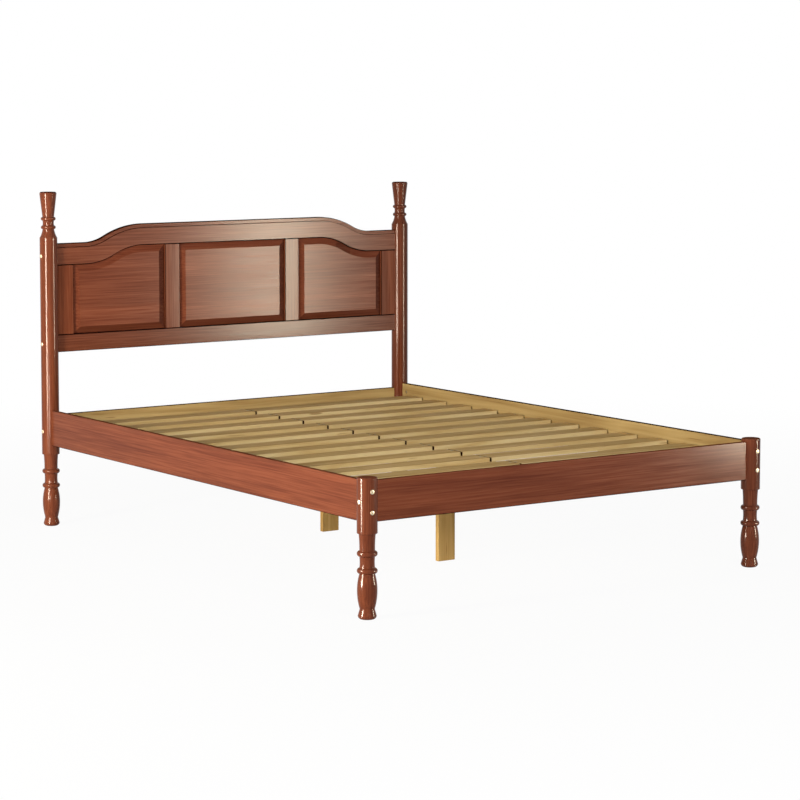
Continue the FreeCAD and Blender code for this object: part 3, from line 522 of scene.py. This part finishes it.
def makeRail(node, name, along, tone, paintedRailTop):
    low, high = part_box(node)
    middle = (low + high) / 2
    rail = addBlock(name, low, high)
    easeEdges(rail, rails["ease"] * mm)
    inward = Vector((-math.copysign(1, middle.x), 0, 0)) if along == "y" else \
        Vector((0, -math.copysign(1, middle.y), 0))
    thick = (high - low).x if along == "y" else (high - low).y
    cutters = []
    postReach = Vector(rails["postsAt"]) * mm
    for end in (-1, 1):
        for spread in ((-1, 1) if along == "y" else (0,)):
            spot = middle.copy()
            axis = 1 if along == "y" else 0
            spot[axis] = end * (postReach[axis] - rails["nutReach"] * mm)
            spot.z += spread * rails["boltSpread"] * mm
            face = spot + inward * (thick / 2 - rails["nutBore"] * mm)
            length = rails["boreLength"] * mm
            cutters.append(addRod("nutBore", face, inward, rails["nutRadius"] * mm, length))
    cutAway(rail, cutters)
    smoothShade(rail)
    inside = middle + inward * (thick / 2 - rails["skin"] * mm)

    def choose(face):
        # painted shade: the top faces take the top paint passed in, near-black on the far rails, lighter on
        # the near ones
        if face.normal.z > 0.5:
            return 1
        # painted shade: the undersides are near-black
        if face.normal.z < -0.2:
            return 3
        return 2 if face.normal.dot(inward) > 0.95 and (face.center - inside).dot(inward) > 0 else 0

    paint(rail, [boardStain, paintedRailTop, pineRail, jointShade], choose)
    dress(rail, node, along, name, tone)


makeRail("side_rail_left", "sideRailLeft", "y", 1.0, litTopPaint)
makeRail("side_rail_right", "sideRailRight", "y", 1.0, shadedTopPaint)
makeRail("foot_rail", "footRail", "x", 1.12, litTopPaint)
makeRail("head_rail", "headRail", "x", 1.32, shadedTopPaint)
print("rails made")


# top rail: its section is drawn at the middle, drawn out along the crest, spun down the ogee, then mirrored
def makeTopRail():
    h = headboard
    low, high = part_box("headboard_top_rail")
    middleY = (low.y + high.y) / 2
    cove, ease, bow, lip = h["cove"], h["ease"], h["round"], h["lip"]
    section = [(h["arris"], h["half"])]
    front = -h["half"] + h["mouldingDepth"]
    section += [(0, h["half"] - h["arris"]), (0, front + bow)]
    section += [(bow - bow * math.cos(a), front + bow - bow * math.sin(a)) for a in
                [math.pi / 2 * k / 6 for k in range(1, 7)]]
    section += [(h["moulding"] - cove, front)]
    section += [(h["moulding"] - cove + cove * math.sin(a), front - cove + cove * math.cos(a)) for a in
                [math.pi / 2 * k / 4 for k in range(1, 5)]]
    section += [(h["moulding"], -h["half"] + lip), (h["moulding"] + lip, -h["half"])]
    section += [(h["depth"] - ease, -h["half"]), (h["depth"], -h["half"] + ease), (h["depth"], -h["groove"])]
    section += [(h["depth"] - h["grooveDepth"], -h["groove"]), (h["depth"] - h["grooveDepth"], h["groove"])]
    section += [(h["depth"], h["groove"]), (h["depth"], h["half"] - ease), (h["depth"] - ease, h["half"])]
    spots = [Vector((0, middleY + y * mm, (h["crest"] - drop) * mm)) for drop, y in section]
    rail = drawLine("headboardTopRail", spots + [spots[0]])
    bpy.ops.mesh.select_all(action="SELECT")
    bpy.ops.mesh.remove_doubles(threshold=0.01 * mm)
    bpy.ops.mesh.select_all(action="SELECT")
    bpy.ops.mesh.extrude_edges_move(TRANSFORM_OT_translate={"value": (h["near"] * mm, 0, 0)})
    run = h["far"] - h["near"]
    fall = h["crest"] - h["shoulder"]
    sweep = 2 * math.atan2(fall, run)
    crestCentre = Vector((h["near"], 0, h["crest"] - h["crestRadius"])) * mm
    hollowCentre = Vector((h["far"], 0, h["shoulder"] + h["hollowRadius"])) * mm
    bpy.ops.mesh.spin(steps=18, angle=-sweep, center=crestCentre, axis=(0, 1, 0))
    bpy.ops.mesh.spin(steps=14, angle=sweep, center=hollowCentre, axis=(0, 1, 0))
    bpy.ops.mesh.extrude_edges_move(TRANSFORM_OT_translate={"value": ((h["end"] - h["far"]) * mm, 0, 0)})
    bpy.ops.mesh.edge_face_add()
    bpy.ops.object.mode_set(mode="OBJECT")
    applyModifier(rail, "MIRROR", use_axis=(True, False, False), use_mirror_merge=True,
                  merge_threshold=0.05 * mm)
    faceOutwards(rail)
    smoothShade(rail, 30)
    skin = 0.2 * mm
    frontFace, step = low.y + skin, low.y + h["mouldingDepth"] * mm - skin
    edgeFrom = (h["shoulder"] - h["edgeDrop"]) * mm

    def choose(face):
        # painted shade: the faces of the step under the moulding, its cove among them, are near-black
        if frontFace < face.center.y < step:
            return 2
        # painted shade: the crest's upper faces, the upper half of its rounded edge too, are near-black
        return 1 if face.normal.z > 0.35 and face.center.z > edgeFrom else 0

    paint(rail, [boardStain, shadedTopPaint, jointShade], choose)
    dress(rail, "headboard_top_rail", "x", "topRail", 1.0)


makeTopRail()


# bottom rail and stiles keep their grooves; their eased edges are painted near-black, painted shade for the
# joint lines
def makeFrameBoard(node, name, along, grooves, tone, finish):
    h = headboard
    low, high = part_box(node)
    middleY = (low.y + high.y) / 2
    if along == "z":
        low.z += h["panelTongue"] * mm
        high.z -= h["panelTongue"] * mm
    board = addBlock(name, low, high)
    easeEdges(board, h["ease"] * mm, 2)
    half, deep = h["groove"] * mm, h["grooveDepth"] * mm
    cutters = []
    for edge in grooves:
        start = Vector((low.x - cutPast, middleY - half, low.z - cutPast))
        stop = Vector((high.x + cutPast, middleY + half, high.z + cutPast))
        if edge == "top":
            start.z = high.z - deep
        elif edge == "minX":
            stop.x = low.x + deep
        else:
            start.x = high.x - deep
        cutters.append(addBlock("groove", start, stop))
    cutAway(board, cutters)
    smoothShade(board)
    paint(board, [finish, jointShade], lambda face: 0 if max(abs(part) for part in face.normal) > 0.99 else 1)
    dress(board, node, along, name, tone)


makeFrameBoard("headboard_bottom_rail", "headboardBottomRail", "x", ["top"], 0.87, boardStain)
makeFrameBoard("headboard_end_stile_left", "endStileLeft", "z", ["maxX"], 1.08, endStain)
makeFrameBoard("headboard_end_stile_right", "endStileRight", "z", ["minX"], 1.0, endStain)
makeFrameBoard("headboard_mid_stile_left", "midStileLeft", "z", ["minX", "maxX"], 1.05, boardStain)
makeFrameBoard("headboard_mid_stile_right", "midStileRight", "z", ["minX", "maxX"], 1.05, boardStain)


# raised panels: the outline is filled, drawn back for the tongue, then inset and lifted for the field
def ogeeLine(drop, count):
    h = headboard
    run, fall = h["far"] - h["near"], h["crest"] - h["shoulder"]
    sweep = 2 * math.atan2(fall, run)
    crest, hollow = h["crestRadius"] - drop, h["hollowRadius"] + drop
    crestCentre, hollowCentre = h["crest"] - h["crestRadius"], h["shoulder"] + h["hollowRadius"]
    spots = []
    for step in range(count + 1):
        angle = sweep * step / count
        spots.append((h["near"] + crest * math.sin(angle), crestCentre + crest * math.cos(angle)))
    for step in range(1, count + 1):
        angle = sweep * (1 - step / count)
        spots.append((h["far"] - hollow * math.sin(angle), hollowCentre - hollow * math.cos(angle)))
    return spots


def makePanel(node, name, outline):
    h = headboard
    boardLow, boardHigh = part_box("headboard_bottom_rail")
    middleY = (boardLow.y + boardHigh.y) / 2
    face = middleY - h["tongue"] * mm
    edge = outline(h["panelTongue"])
    panel = drawLine(name, [Vector((x * mm, face, z * mm)) for x, z in edge])
    bpy.ops.mesh.select_all(action="SELECT")
    bpy.ops.mesh.edge_face_add()
    bpy.ops.mesh.select_all(action="SELECT")
    bpy.ops.mesh.extrude_region_move(TRANSFORM_OT_translate={"value": (0, 2 * h["tongue"] * mm, 0)})
    faceOutwards(panel)
    bpy.ops.object.mode_set(mode="EDIT")
    bpy.ops.mesh.select_mode(type="FACE")
    bpy.ops.mesh.select_all(action="DESELECT")
    bpy.ops.object.mode_set(mode="OBJECT")
    for polygon in panel.data.polygons:
        polygon.select = polygon.normal.y < -0.9
    bpy.ops.object.mode_set(mode="EDIT")
    bpy.ops.mesh.inset(thickness=(h["panelTongue"] + h["margin"]) * mm, depth=0)
    bpy.ops.mesh.inset(thickness=h["bevel"] * mm, depth=h["fieldRise"] * mm)
    bpy.ops.mesh.select_mode(type="VERT")
    bpy.ops.object.mode_set(mode="OBJECT")
    smoothShade(panel, 12)
    skin = 0.5 * mm
    field = face - h["fieldRise"] * mm + skin

    def choose(side):
        if side.normal.y > -0.5 or side.center.y < field:
            return 0
        # painted shade: the narrow margin where the panel meets the frame is near-black
        if side.center.y > face - skin:
            return 1
        # painted shade: the slopes take the darker copies of the stain, those facing down or right the
        # darkest
        return 3 if side.normal.x > 0.1 or side.normal.z < -0.1 else 2

    paint(panel, [panelStain, jointShade, shadedBevelStain, deepShadedBevelStain], choose)
    dress(panel, node, "x", name, 1.17)


def midOutline(grow):
    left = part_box("headboard_mid_stile_left")[1].x / mm - grow
    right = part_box("headboard_mid_stile_right")[0].x / mm + grow
    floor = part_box("headboard_bottom_rail")[1].z / mm - grow
    top = headboard["crest"] - headboard["depth"] + grow
    return [(left, floor), (right, floor), (right, top), (left, top)]


def sideOutline(sign):
    def outline(grow):
        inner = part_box("headboard_mid_stile_right")[1].x / mm - grow
        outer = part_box("headboard_end_stile_right")[0].x / mm + grow
        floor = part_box("headboard_bottom_rail")[1].z / mm - grow
        crest = ogeeLine(headboard["depth"] - grow, 14)
        spots = [(inner, floor), (inner, crest[0][1])] + crest + [(outer, crest[-1][1]), (outer, floor)]
        return [(sign * x, z) for x, z in spots]
    return outline


makePanel("headboard_panel_left", "panelLeft", sideOutline(-1))
makePanel("headboard_panel_centre", "panelCentre", midOutline)
makePanel("headboard_panel_right", "panelRight", sideOutline(1))
print("headboard made")


# deck: one half slat is made with its screw holes and copied down the bed
deck = {
    "ease": 0.5, "corner": 2.0, "holeRadius": 4.15, "shankRadius": 2.15, "holeDepth": 2.4,
    "holesAt": (12.0, 750.0), "legEase": 1.5, "beamGap": 0.3,
    # painted shade: the rows are coloured darker from the foot towards the head
    "rowShade": (1.0, 1.0, 1.0, 0.98, 0.95, 0.92), "rows": 12,
}


def makeSlats(side, sign):
    low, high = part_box("slat_%s_01" % side)
    master = addBlock("slatMaster", low, high)
    inner = high.x if sign < 0 else low.x
    near = 0.01 * mm
    bevelWhere(master, deck["corner"] * mm, 1, lambda a, b: max(abs(a.x - inner), abs(b.x - inner)) < near
               and max(a.y, b.y) < low.y + near)
    bevelWhere(master, deck["ease"] * mm, 3, lambda a, b: min(a.z, b.z) > high.z - near
               and min(a.y, b.y) < high.y - near)
    cutters = []
    for place in deck["holesAt"]:
        freshStart()
        bpy.ops.mesh.primitive_cone_add(
            vertices=28, radius1=deck["shankRadius"] * mm, radius2=deck["holeRadius"] * mm,
            depth=deck["holeDepth"] * mm, location=(sign * place * mm, (low.y + high.y) / 2,
                                                    high.z - deck["holeDepth"] * mm / 2))
        cone = bpy.context.object
        applyPlace(cone)
        cutters.append(cone)
    cutAway(master, cutters)
    smoothShade(master)

    def choose(face):
        # painted shade: the end faces take the near-black end grain, dark in the gaps between slats and at
        # the rails
        if abs(face.normal.x) > 0.5:
            return 1
        # painted light: the tops take the warmer copy of the pine
        return 2 if isTop(face) else 0

    paint(master, [pineBare, pineEndShade, warmLitPineTop], choose)
    for row in range(1, deck["rows"] + 1):
        node = "slat_%s_%02d" % (side, row)
        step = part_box(node)[0] - low
        slat = master.copy()
        slat.data = master.data.copy()
        slat.data.transform(Matrix.Translation(step))
        slat.name = "slat%s%02d" % (side.title(), row)
        bpy.context.scene.collection.objects.link(slat)
        fromFoot = deck["rows"] - row
        dress(slat, node, "x", slat.name, deck["rowShade"][min(fromFoot, len(deck["rowShade"]) - 1)])
    bpy.data.objects.remove(master)


makeSlats("left", -1)
makeSlats("right", 1)


def makeStick(node, name, along):
    low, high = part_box(node)
    stick = addBlock(name, low, high)
    easeEdges(stick, deck["legEase"] * mm, 2)
    smoothShade(stick)
    paintAll(stick, pineFrame)
    dress(stick, node, along, name)


makeStick("side_ledger_left", "ledgerLeft", "y")
makeStick("side_ledger_right", "ledgerRight", "y")
makeStick("centre_beam", "centreBeam", "y")
makeStick("centre_leg_front", "centreLegFront", "z")
makeStick("centre_leg_rear", "centreLegRear", "z")


def makeCradle(node, name):
    low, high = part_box(node)
    beamLow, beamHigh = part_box("centre_beam")
    gap = deck["beamGap"] * mm
    block = addBlock(name, low, high)
    easeEdges(block, deck["legEase"] * mm, 2)
    notch = addBlock("notch", (beamLow.x - gap, low.y - cutPast, beamLow.z),
                     (beamHigh.x + gap, high.y + cutPast, beamHigh.z))
    cutAway(block, [notch])
    smoothShade(block)
    paintAll(block, pineFrame)
    dress(block, node, "x", name)


makeCradle("beam_cradle_head", "cradleHead")
makeCradle("beam_cradle_foot", "cradleFoot")
print("deck made")


# connector bolts: domed heads with a hexagon socket, one made and copied
bolts = {
    "section": [(0, -96), (3, -96), (3, 0), (7, 0), (7, 1.4), (6.3, 2.0), (5.2, 2.5), (3.6, 2.9), (2.6, 3),
                (0, 3)],
    "dome": 3, "socketRadius": 2.3, "socketDepth": 2.0, "socketCut": 5, "turnSteps": 40,
    "x": 774.5, "y": 1065.5, "crossX": 803.0, "crossY": 1037.0, "boardY": 1035.0,
    "heights": (329.25, 392.75), "footHeight": 361.0, "headHeight": 347.0,
}


def makeBolt():
    bolt = drawLine("boltMaster", [Vector((r, 0, z)) * mm for r, z in bolts["section"]])
    spinRound(bolt, (0, 0, 0), bolts["turnSteps"])
    socket = addRod("socket", (0, 0, (bolts["dome"] - bolts["socketDepth"]) * mm), (0, 0, 1),
                    bolts["socketRadius"] * mm, bolts["socketCut"] * mm, 6)
    cutAway(bolt, [socket])
    smoothShade(bolt, 30)
    paintAll(bolt, boltNickel)
    return bolt


def copyTo(master, name, places):
    freshStart()
    for spot, heading in places:
        turn = Vector(heading).to_track_quat("Z", "Y").to_matrix().to_4x4()
        copy = master.copy()
        copy.data = master.data.copy()
        copy.data.transform(Matrix.Translation(Vector(spot) * mm) @ turn)
        bpy.context.scene.collection.objects.link(copy)
        copy.select_set(True)
        bpy.context.view_layer.objects.active = copy
    bpy.ops.object.join()
    group = bpy.context.object
    group.name = name
    return group


bolt = makeBolt()
pairs = [(across, end) for across in (-1, 1) for end in (-1, 1)]
sideBolts = copyTo(bolt, "sideRailBolts", [
    ((across * bolts["x"], end * bolts["y"], height), (0, end, 0))
    for across, end in pairs for height in bolts["heights"]])
assign(sideBolts, "side_rail_bolts")
crossHeights = {1: bolts["headHeight"], -1: bolts["footHeight"]}
crossBolts = copyTo(bolt, "crossRailBolts", [
    ((across * bolts["crossX"], end * bolts["crossY"], crossHeights[end]), (across, 0, 0))
    for across, end in pairs])
assign(crossBolts, "cross_rail_bolts")
boardBolts = copyTo(bolt, "headboardBolts", [
    ((across * bolts["crossX"], bolts["boardY"], height), (across, 0, 0))
    for across in (-1, 1) for height in headboard["bolts"]])
assign(boardBolts, "headboard_bolts")
bpy.data.objects.remove(bolt)


# slat screws: countersunk, with a cross recess
screws = {
    "section": [(0, -35), (2, -31), (2, -2.4), (4, -0.15), (4, -0.05), (0, -0.05)],
    "recess": (4.6, 1.0, 1.6), "turnSteps": 20,
}


def makeScrew():
    screw = drawLine("screwMaster", [Vector((r, 0, z)) * mm for r, z in screws["section"]])
    spinRound(screw, (0, 0, 0), screws["turnSteps"])
    length, width, deep = [size * mm for size in screws["recess"]]
    cutAway(screw, [addBlock("recess", (-length / 2, -width / 2, -deep), (length / 2, width / 2, deep)),
                    addBlock("recess", (-width / 2, -length / 2, -deep), (width / 2, length / 2, deep))])
    smoothShade(screw, 30)
    paintAll(screw, screwZinc)
    return screw


screw = makeScrew()
screwPlaces = []
for row in range(1, deck["rows"] + 1):
    low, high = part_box("slat_right_%02d" % row)
    for across in (-1, 1):
        for place in deck["holesAt"]:
            screwPlaces.append(((across * place, (low.y + high.y) / 2 / mm, high.z / mm), (0, 0, 1)))
slatScrews = copyTo(screw, "slatScrews", screwPlaces)
assign(slatScrews, "slat_screws")
bpy.data.objects.remove(screw)

# the small metal that hardly shows keeps its CAD shape
for node in ("rail_barrel_nuts", "headboard_barrel_nuts", "leg_brackets", "leg_bracket_screws",
             "ledger_screws", "cradle_screws"):
    nodes[node].data.materials.clear()
    nodes[node].data.materials.append(screwZinc)
print("fasteners made")


# stage: pale floor and white surroundings; two strips at the left and a softbox at the right give the sheen,
# and three fills the light
studio = {
    "floorSize": 60.0, "floorTone": "#e0e0e0", "floorDrop": 0.2, "glow": 0.95, "fade": (1.6, 4.5),
    "walls": 0.25, "ceiling": 0.08, "wallTop": (0.2, 0.5),
    "strip": {"place": (-3.55, -0.37, 1.2), "aim": (-0.3, -0.2, 0.6), "size": (0.75, 2.4), "power": 850.0,
              "colour": (1.0, 0.86, 0.7), "fills": False, "shines": True},
    "lowStrip": {"place": (-2.28, -0.76, 0.17), "aim": (-0.77, -1.03, 0.2), "size": (0.28, 0.3),
                 "power": 42.0, "colour": (1.0, 0.88, 0.74), "fills": False, "shines": True},
    "softbox": {"place": (2.78, -3.15, 0.8), "aim": (0.2, 0.9, 0.7), "size": (0.42, 1.64), "power": 265.0,
                "colour": (1.0, 0.92, 0.71), "fills": False, "shines": True},
    "left": {"place": (-5.2, -0.75, 1.05), "aim": (-0.3, 0.0, 0.6), "size": (0.8, 1.2), "power": 340.0,
             "colour": (1.0, 0.93, 0.78), "fills": True, "shines": False},
    "front": {"place": (-1.8, -7.8, 2.6), "aim": (0.0, 0.0, 0.5), "size": (4.2, 2.4), "power": 400.0,
              "colour": (1.0, 0.96, 0.9), "fills": True, "shines": False},
    "back": {"place": (5.0, 6.5, 0.75), "aim": (0.0, 0.2, 0.6), "size": (4.2, 1.6), "power": 480.0,
             "colour": (1.0, 0.96, 0.9), "fills": True, "shines": False},
}


# 1 for rays that show the surroundings themselves, 0 for rays that gather their light
def seenRay(tree):
    path = addNode(tree, "ShaderNodeLightPath")
    direct = addNode(tree, "ShaderNodeMath", {
        0: path.outputs["Is Camera Ray"], 1: path.outputs["Is Glossy Ray"]}, operation="MAXIMUM")
    either = addNode(tree, "ShaderNodeMath", {
        0: direct.outputs[0], 1: path.outputs["Is Transmission Ray"]}, operation="MAXIMUM")
    return either.outputs[0]


freshStart()
bpy.ops.mesh.primitive_plane_add(size=studio["floorSize"], location=(0, 0, -studio["floorDrop"] * mm))
floor = bpy.context.object
floor.name = "floor"
floorPaint, tree = newMaterial("paleFloor")
seen = seenRay(tree)
place = addNode(tree, "ShaderNodeTexCoord").outputs["Object"]
away = addNode(tree, "ShaderNodeVectorMath", {0: place}, operation="LENGTH")
fade = addNode(tree, "ShaderNodeMapRange", {
    "Value": away.outputs["Value"], "From Min": studio["fade"][0], "From Max": studio["fade"][1],
    "To Min": studio["glow"], "To Max": 1.0})
matt = addNode(tree, "ShaderNodeBsdfDiffuse", {"Color": linear(studio["floorTone"])})
glow = addNode(tree, "ShaderNodeEmission", {"Color": (1, 1, 1, 1), "Strength": 1.0})
bright = addNode(tree, "ShaderNodeMixShader", {
    0: fade.outputs["Result"], 1: matt.outputs[0], 2: glow.outputs[0]})
surface = addNode(tree, "ShaderNodeMixShader", {0: seen, 1: matt.outputs[0], 2: bright.outputs[0]})
addNode(tree, "ShaderNodeOutputMaterial", {"Surface": surface.outputs[0]})
floor.data.materials.append(floorPaint)

world = bpy.data.worlds.new("studio")
bpy.context.scene.world = world
world.use_nodes = True
tree = world.node_tree
tree.nodes.clear()
seen = seenRay(tree)
heading = addNode(tree, "ShaderNodeTexCoord").outputs["Generated"]
height = addNode(tree, "ShaderNodeSeparateXYZ", {0: heading})
walls = addNode(tree, "ShaderNodeMapRange", {
    "Value": height.outputs["Z"], "From Min": studio["wallTop"][0], "From Max": studio["wallTop"][1],
    "To Min": studio["walls"], "To Max": studio["ceiling"]})
fill = addNode(tree, "ShaderNodeBackground", {"Color": (1, 1, 1, 1), "Strength": walls.outputs["Result"]})
white = addNode(tree, "ShaderNodeBackground", {"Color": (1, 1, 1, 1), "Strength": 1.0})
sky = addNode(tree, "ShaderNodeMixShader", {0: seen, 1: fill.outputs[0], 2: white.outputs[0]})
addNode(tree, "ShaderNodeOutputWorld", {"Surface": sky.outputs[0]})

for name in ("strip", "lowStrip", "softbox", "left", "front", "back"):
    lamp = studio[name]
    freshStart()
    bpy.ops.object.light_add(type="AREA", location=lamp["place"])
    light = bpy.context.object
    light.name = name
    light.data.shape = "RECTANGLE"
    light.data.size, light.data.size_y = lamp["size"]
    light.data.energy = lamp["power"]
    light.data.color = lamp["colour"]
    light.visible_diffuse = lamp["fills"]
    light.visible_glossy = lamp["shines"]
    aim = Vector(lamp["aim"]) - Vector(lamp["place"])
    light.rotation_euler = aim.to_track_quat("-Z", "Y").to_euler()

# camera fitted to the photograph's corners
camera = {"place": (-5.34383, -7.84433, 1.67104), "heading": 0.6033, "pitch": 0.09232, "roll": -0.00027,
          "lens": 123.229, "shift": -0.1, "sensor": 36, "clip": 200}
freshStart()
bpy.ops.object.camera_add(location=camera["place"],
                          rotation=(math.pi / 2 - camera["pitch"], camera["roll"], -camera["heading"]))
eye = bpy.context.object
eye.data.lens = camera["lens"]
eye.data.sensor_width = camera["sensor"]
eye.data.shift_y = camera["shift"]
eye.data.clip_end = camera["clip"]
bpy.context.scene.camera = eye
bpy.context.scene.view_settings.view_transform = "Standard"
print("stage set")

bpy.context.view_layer.update()
